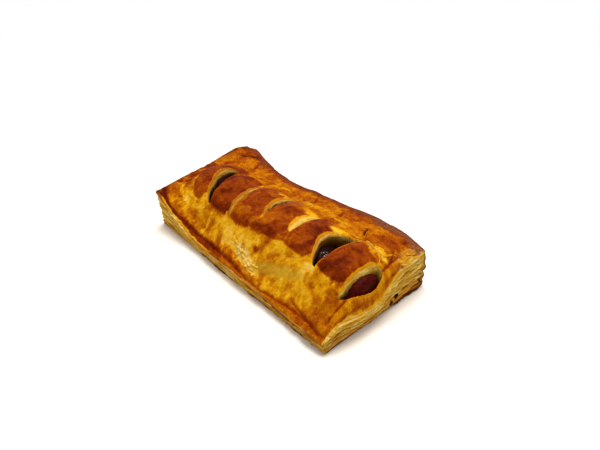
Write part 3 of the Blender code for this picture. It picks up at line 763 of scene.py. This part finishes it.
def curlMesh():
    # a narrow oval section, tilted like a curled skin, carried along each thread's line on the crust
    c = curlForm
    angle = np.linspace(0, 2 * np.pi, c["sides"], endpoint=False)
    parts = []
    for k, (_, line, height, width, target, _) in enumerate(threads):
        if not 0.55 < height < 0.85:      # lower threads lie flat and the highest is a broad roll
            continue
        line = np.asarray(line, float)
        passed = np.concatenate([[0], np.cumsum(np.hypot(*np.diff(line, axis=0).T))])
        u = np.linspace(0, passed[-1], c["stations"])
        zero = 0 * u
        x = through(u, passed, line[:, 0]) + 0.25 * lumps(u, zero, 1.8, 310 + k)
        y = through(u, passed, line[:, 1]) + 0.25 * lumps(u, zero, 1.8, 330 + k)
        z = np.convolve(np.pad(heightUnder(x, y), 2, mode="edge"), np.ones(5) / 5, mode="valid")
        along = np.stack([np.gradient(x), np.gradient(y)], -1)
        along /= np.linalg.norm(along, axis=1)[:, None]
        ends = np.sqrt(np.clip(1 - (2 * u / passed[-1] - 1) ** 2, 0, 1))
        size = (ends * (1 + 0.35 * lumps(u, zero, 2.5, 350 + k)) * width / 0.5)[:, None]
        out = c["halfWidth"] * size * np.cos(angle)
        rise = c["halfThick"] * (0.3 + 0.7 * ends)[:, None] * np.sin(angle)
        tilt = np.radians(c["tilt"] + 20 * lumps(u, zero, 3.0, 370 + k))[:, None]
        across = out * np.cos(tilt) - rise * np.sin(tilt)
        up = z[:, None] + 0.25 + out * np.sin(tilt) + rise * np.cos(tilt)
        points = np.stack([x[:, None] - along[:, 1:] * across, y[:, None] + along[:, :1] * across, up], -1)
        bake = target + 0.08 * lumps(u, zero, 1.5, 390 + k)[:, None] + 0 * up
        parts.append((points, dict(bake=bake, cut=0.75 * (target < 0.3) + 0 * up)))
    return joinedTubes(parts)


# sausage: a bumpy link through the crust

sausageForm = dict(
    x=(-69.0, 81.2), y=(-3.2, -8.0), z=(19.2, 16.2), halfWidth=12.2, halfHeight=10.2, bluntness=50,
    rings=230, sides=112, bumps=0.22,
)


def sausageMesh():
    # rings of an oval along the sausage's line, closing to a point at each blunt end, with small bumps
    c = sausageForm
    turn = np.linspace(0, np.pi, c["rings"] + 1)[1:-1]
    along = -np.cos(turn)
    reach = (1 - np.abs(along) ** c["bluntness"]) ** 0.45
    angle = np.linspace(0, 2 * np.pi, c["sides"], endpoint=False)
    mid, half = 0.5 * (c["x"][0] + c["x"][1]), 0.5 * (c["x"][1] - c["x"][0])
    x = np.broadcast_to((mid + half * along)[:, None], (len(turn), len(angle)))
    bump = c["bumps"] * np.abs(roughness(x, 12 * np.cos(angle) + 7 * np.sin(angle) + 0 * x, 1.7, 71))
    ridge = 0.12 * lumps(x, 12 * np.abs(angle - np.pi) + 0 * x, 6.0, 75)
    size = reach[:, None] + (ridge - bump - 0.12) / 11
    share = 0.5 * (1 + along[:, None])
    y = toward(*c["y"], share) + c["halfWidth"] * size * np.cos(angle)
    z = toward(*c["z"], share) + c["halfHeight"] * size * np.sin(angle)
    rings = np.stack([x, y, z], -1)
    poles = np.array([[mid - half, c["y"][0], c["z"][0]], [mid + half, c["y"][1], c["z"][1]]])
    points = np.concatenate([rings.reshape(-1, 3), poles])
    number = np.arange(rings.shape[0] * rings.shape[1]).reshape(rings.shape[:2])
    after = np.roll(number, -1, axis=1)
    faces = np.stack([number[:-1], number[1:], after[1:], after[:-1]], -1).reshape(-1, 4)[:, ::-1].tolist()
    low, high = len(points) - 2, len(points) - 1
    faces += np.stack([np.full(len(angle), low), after[0], number[0]], -1).tolist()
    faces += np.stack([np.full(len(angle), high), number[-1], after[-1]], -1).tolist()
    shade = 1 - smooth((points[:, 0] - 62) / 8)
    # painted glints: a patch of white highlight specks on the sausage in slit five
    wet = blob(points[:, 0], points[:, 1], (50.4, -9.6), (2.2, 1.8), 30) * (points[:, 2] > 15)
    return points, faces, dict(shade=shade, wet=wet)


# materials

def linear(r, g, b):
    # an sRGB colour of 0..255, as it looks under the studio's light of 1.15 times white, made linear
    c = np.array([r, g, b]) / 255
    return tuple(np.where(c <= 0.04045, c / 12.92, ((c + 0.055) / 1.055) ** 2.4) / 1.15) + (1.0,)


def addNode(tree, kind, inputs=None, **settings):
    # a node with its settings; an input that is a socket is linked, and any other is set
    node = tree.nodes.new(kind)
    for name, value in settings.items():
        setattr(node, name, value)
    for key, value in (inputs or {}).items():
        if isinstance(value, bpy.types.NodeSocket):
            tree.links.new(value, node.inputs[key])
        else:
            node.inputs[key].default_value = value
    return node


def ramp(tree, value, stops):
    # a colour that runs through the stops as the value rises from 0 to 1
    node = addNode(tree, "ShaderNodeValToRGB", {0: value})
    elements = node.color_ramp.elements
    while len(elements) < len(stops):
        elements.new(0.5)
    for element, (at, colour) in zip(elements, stops):
        element.position, element.color = at, linear(*colour)
    return node.outputs["Color"]


def maths(tree, operation, a, b=0.5, c=0.5, clamp=False):
    node = addNode(tree, "ShaderNodeMath", {0: a, 1: b, 2: c}, operation=operation, use_clamp=clamp)
    return node.outputs[0]


def scaled(tree, value, by, plus=0.0, clamp=False):
    # value * by + plus
    return maths(tree, "MULTIPLY_ADD", value, by, plus, clamp)


def mixed(tree, share, a, b, blend="MIX"):
    # colour a with this share of colour b over it
    node = addNode(tree, "ShaderNodeMix", {0: share}, data_type="RGBA", blend_type=blend)
    for socket, value in ((node.inputs[6], a), (node.inputs[7], b)):
        if isinstance(value, bpy.types.NodeSocket):
            tree.links.new(value, socket)
        else:
            socket.default_value = value
    return node.outputs[2]


def noise(tree, place, scale, detail=3.0, rough=0.55):
    # scale is lumps for each metre
    inputs = {"Vector": place, "Scale": scale, "Detail": detail, "Roughness": rough}
    return addNode(tree, "ShaderNodeTexNoise", inputs).outputs["Fac"]


bakeColours = [
    (0.00, (244, 214, 140)), (0.13, (238, 190, 84)), (0.25, (234, 174, 26)), (0.37, (216, 144, 8)),
    (0.49, (192, 111, 5)), (0.60, (170, 84, 4)), (0.71, (149, 61, 4)), (0.82, (129, 45, 4)),
    (0.92, (104, 31, 4)), (1.00, (74, 16, 3)),
]
doughColours = [(0.0, (136, 80, 16)), (0.3, (200, 144, 40)), (0.55, (232, 184, 72)), (0.85, (252, 230, 138))]

meatColours = [(0.30, (44, 4, 2)), (0.48, (76, 12, 6)), (0.58, (92, 20, 8)), (0.72, (128, 44, 18))]


def bakedDough():
    # colour, roughness and height of dough from how baked, cut, glazed, burnt and oily it is, and its painted
    # shade deep in a slit or hole
    tree = bpy.data.node_groups.new("bakedDough", "ShaderNodeTree")
    for name in ("Bake", "Cut", "Egg", "Burnt", "Oily", "Deep"):
        tree.interface.new_socket(name=name, in_out="INPUT", socket_type="NodeSocketFloat")
    tree.interface.new_socket(name="Color", in_out="OUTPUT", socket_type="NodeSocketColor")
    tree.interface.new_socket(name="Roughness", in_out="OUTPUT", socket_type="NodeSocketFloat")
    tree.interface.new_socket(name="Height", in_out="OUTPUT", socket_type="NodeSocketFloat")
    given = tree.nodes.new("NodeGroupInput").outputs
    place = addNode(tree, "ShaderNodeTexCoord").outputs["Object"]
    fine, broad = noise(tree, place, 1100, 4), noise(tree, place, 260, 3)
    wobble = scaled(tree, fine, 0.30, scaled(tree, broad, 0.24, -0.27))
    calm = scaled(tree, given["Egg"], -0.45, 1.0)
    bake = scaled(tree, wobble, calm, given["Bake"])
    skin = ramp(tree, bake, bakeColours)
    freckle = scaled(tree, noise(tree, place, 620, 2), 9.0, -5.6, clamp=True)
    skin = mixed(tree, maths(tree, "MULTIPLY", freckle, 0.5), skin, linear(140, 62, 8), "MULTIPLY")
    matte = mixed(tree, noise(tree, place, 700, 3), linear(50, 17, 12), linear(164, 106, 74))
    skin = mixed(tree, maths(tree, "MULTIPLY", given["Burnt"], 0.75), skin, matte)
    glint = scaled(tree, noise(tree, place, 1500, 2), 14.0, -9.4, clamp=True)
    glint = maths(tree, "MULTIPLY", glint, scaled(tree, given["Bake"], -0.75, 0.8, clamp=True))
    skin = mixed(tree, glint, skin, linear(255, 226, 132))
    skin = mixed(tree, maths(tree, "MULTIPLY", given["Oily"], 0.75), skin, linear(196, 150, 36))
    flat = addNode(tree, "ShaderNodeMapping", {"Vector": place, "Scale": (90, 90, 900)}).outputs[0]
    layers = noise(tree, flat, 1.0, 4, 0.6)
    dough = ramp(tree, scaled(tree, layers, 1.7, scaled(tree, fine, 0.7, -0.67)), doughColours)
    dough = mixed(tree, maths(tree, "MULTIPLY", given["Bake"], 0.5, clamp=True), dough, linear(150, 92, 12))
    colour = mixed(tree, given["Cut"], skin, dough)
    # painted shade: near-black in the slits' holes and in the small holes, where shade lies
    colour = mixed(tree, given["Deep"], colour, linear(30, 5, 3))
    rough = scaled(tree, given["Egg"], -0.22, 0.58)
    rough = scaled(tree, given["Cut"], 0.2, rough)
    rough = maths(tree, "ADD", rough, scaled(tree, broad, 0.2, -0.1), clamp=True)
    crackle = scaled(tree, fine, 0.5, maths(tree, "MULTIPLY", broad, 0.5))
    height = scaled(tree, maths(tree, "MULTIPLY", layers, given["Cut"]), 1.6, crackle)
    out = tree.nodes.new("NodeGroupOutput")
    for name, socket in (("Color", colour), ("Roughness", rough), ("Height", height)):
        tree.links.new(socket, out.inputs[name])
    return tree


def doughMaterial(name, group, bumpStrength):
    # the dough group fed with the mesh's own masks
    material = bpy.data.materials.new(name)
    material.use_nodes = True
    tree = material.node_tree
    shader = tree.nodes["Principled BSDF"]
    dough = addNode(tree, "ShaderNodeGroup", node_tree=group)
    for label in ("bake", "cut", "egg", "burnt", "oily", "deep"):
        mask = addNode(tree, "ShaderNodeAttribute", attribute_name=label)
        tree.links.new(mask.outputs["Fac"], dough.inputs[label.capitalize()])
    bump = addNode(tree, "ShaderNodeBump", {
        "Strength": bumpStrength, "Distance": 0.0006, "Height": dough.outputs["Height"]})
    tree.links.new(dough.outputs["Color"], shader.inputs["Base Color"])
    tree.links.new(dough.outputs["Roughness"], shader.inputs["Roughness"])
    tree.links.new(bump.outputs[0], shader.inputs["Normal"])
    shader.inputs["Specular IOR Level"].default_value = 0.01
    shader.inputs["Specular Tint"].default_value = (1.0, 0.62, 0.25, 1.0)
    return material


def sausageMaterial():
    # dark red meat, painted darker where it lies in the shade of the crust, with a few painted glints: white
    # specks of highlight
    material = bpy.data.materials.new("sausageSkin")
    material.use_nodes = True
    tree = material.node_tree
    shader = tree.nodes["Principled BSDF"]
    place = addNode(tree, "ShaderNodeTexCoord").outputs["Object"]
    grain, patches = noise(tree, place, 900, 4), noise(tree, place, 220, 3)
    colour = ramp(tree, scaled(tree, grain, 0.5, maths(tree, "MULTIPLY", patches, 0.5)), meatColours)
    shade, wet = (addNode(tree, "ShaderNodeAttribute", attribute_name=label).outputs["Fac"]
                  for label in ("shade", "wet"))
    colour = mixed(tree, maths(tree, "MULTIPLY", shade, 0.88), colour, linear(20, 3, 2))
    # painted highlight: white glint specks inside the glint patch
    glintSpecks = scaled(tree, noise(tree, place, 1500, 1), 14.0, -8.3, clamp=True)
    colour = mixed(tree, maths(tree, "MULTIPLY", wet, glintSpecks), colour, linear(226, 212, 200))
    rough = scaled(tree, patches, 0.4, 0.3)
    bump = addNode(tree, "ShaderNodeBump", {"Strength": 0.5, "Distance": 0.0003, "Height": grain})
    tree.links.new(colour, shader.inputs["Base Color"])
    tree.links.new(rough, shader.inputs["Roughness"])
    tree.links.new(bump.outputs[0], shader.inputs["Normal"])
    shader.inputs["Specular IOR Level"].default_value = 0.03
    return material


dough = bakedDough()
crustFinish = doughMaterial("bakedCrust", dough, 0.75)
layerFinish = doughMaterial("doughLayers", dough, 0.5)

crust = addMesh("crust", *crustMesh(), crustFinish)
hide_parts("pastry")
print("crust:", len(crust.data.polygons), "faces")

layers = addMesh("edgeLayers", *layerMesh(), layerFinish)
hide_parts("pastry")
print("edge layers:", len(layers.data.polygons), "faces")

for name, made in (("looseFlakes", flakeMesh()), ("curledThreads", curlMesh())):
    piece = addMesh(name, *made, layerFinish)
    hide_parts("pastry")
    print(name + ":", len(piece.data.polygons), "faces")

sausage = addMesh("sausageLink", *sausageMesh(), sausageMaterial())
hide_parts("sausage")
print("sausage:", len(sausage.data.polygons), "faces")


# floor, light and camera

studio = dict(
    azimuth=48.08, elevation=33.01, distance=0.3283, target=(-0.0102, 0.0274, 0.0), lens=28.8,
    floorSize=5.0, floorColour=(0.93, 0.885, 0.81, 1.0), sky=0.46,
    whitening=2.2, whiteningStart=-0.55,
    lamps=[("keyLamp", (-0.51, 0.66, 2.2), 1.5, 63.0), ("fillLamp", (1.8, -1.5, 1.8), 1.5, 9.0)],
)


def addFloor():
    # pale where the shadows lie, turning to plain white as whitening * metres + whiteningStart
    half = studio["floorSize"] / 2
    mesh = bpy.data.meshes.new("floor")
    corners = [(-half, -half, 0), (half, -half, 0), (half, half, 0), (-half, half, 0)]
    mesh.from_pydata(corners, [], [(0, 1, 2, 3)])
    floor = bpy.data.objects.new("floor", mesh)
    bpy.context.scene.collection.objects.link(floor)
    material = bpy.data.materials.new("paleFloor")
    material.use_nodes = True
    shader = material.node_tree.nodes["Principled BSDF"]
    shader.inputs["Roughness"].default_value = 0.9
    shader.inputs["Specular IOR Level"].default_value = 0.0
    tree = material.node_tree
    place = addNode(tree, "ShaderNodeTexCoord").outputs["Object"]
    away = addNode(tree, "ShaderNodeVectorMath", {0: place}, operation="LENGTH").outputs["Value"]
    rising = scaled(tree, away, studio["whitening"], studio["whiteningStart"])
    far = maths(tree, "SMOOTH_MIN", rising, 1.0, 0.2, clamp=True)
    tree.links.new(mixed(tree, far, studio["floorColour"], (0, 0, 0, 1)), shader.inputs["Base Color"])
    tree.links.new(far, shader.inputs["Emission Strength"])
    shader.inputs["Emission Color"].default_value = (1, 1, 1, 1)
    mesh.materials.append(material)


def addLights():
    # a white sky that lights at the sky's share, and soft lamps aimed at the middle
    world = bpy.data.worlds.new("studioWorld")
    bpy.context.scene.world = world
    world.use_nodes = True
    tree = world.node_tree
    seen = addNode(tree, "ShaderNodeLightPath").outputs["Is Camera Ray"]
    strength = scaled(tree, seen, 1.0 - studio["sky"], studio["sky"])
    tree.links.new(strength, tree.nodes["Background"].inputs["Strength"])
    tree.nodes["Background"].inputs["Color"].default_value = (1, 1, 1, 1)
    for name, place, size, watts in studio["lamps"]:
        lamp = bpy.data.lights.new(name, "AREA")
        lamp.shape, lamp.size, lamp.energy = "DISK", size, watts
        holder = bpy.data.objects.new(name, lamp)
        bpy.context.scene.collection.objects.link(holder)
        holder.location = place
        holder.rotation_euler = (-Vector(place)).to_track_quat("-Z", "Y").to_euler()


def addCamera():
    # looks at the target from its azimuth and elevation, in degrees
    a, e = np.radians(studio["azimuth"]), np.radians(studio["elevation"])
    back = Vector((np.sin(a) * np.cos(e), -np.cos(a) * np.cos(e), np.sin(e)))
    lens = bpy.data.cameras.new("camera")
    lens.lens, lens.sensor_width, lens.clip_start = studio["lens"], 36.0, 0.01
    camera = bpy.data.objects.new("camera", lens)
    bpy.context.scene.collection.objects.link(camera)
    camera.matrix_world = Matrix.Translation(Vector(studio["target"]) + back * studio["distance"]) @ (
        back.to_track_quat("Z", "Y").to_matrix().to_4x4())
    bpy.context.scene.camera = camera


addFloor()
addLights()
addCamera()
bpy.context.scene.view_settings.view_transform = "Standard"
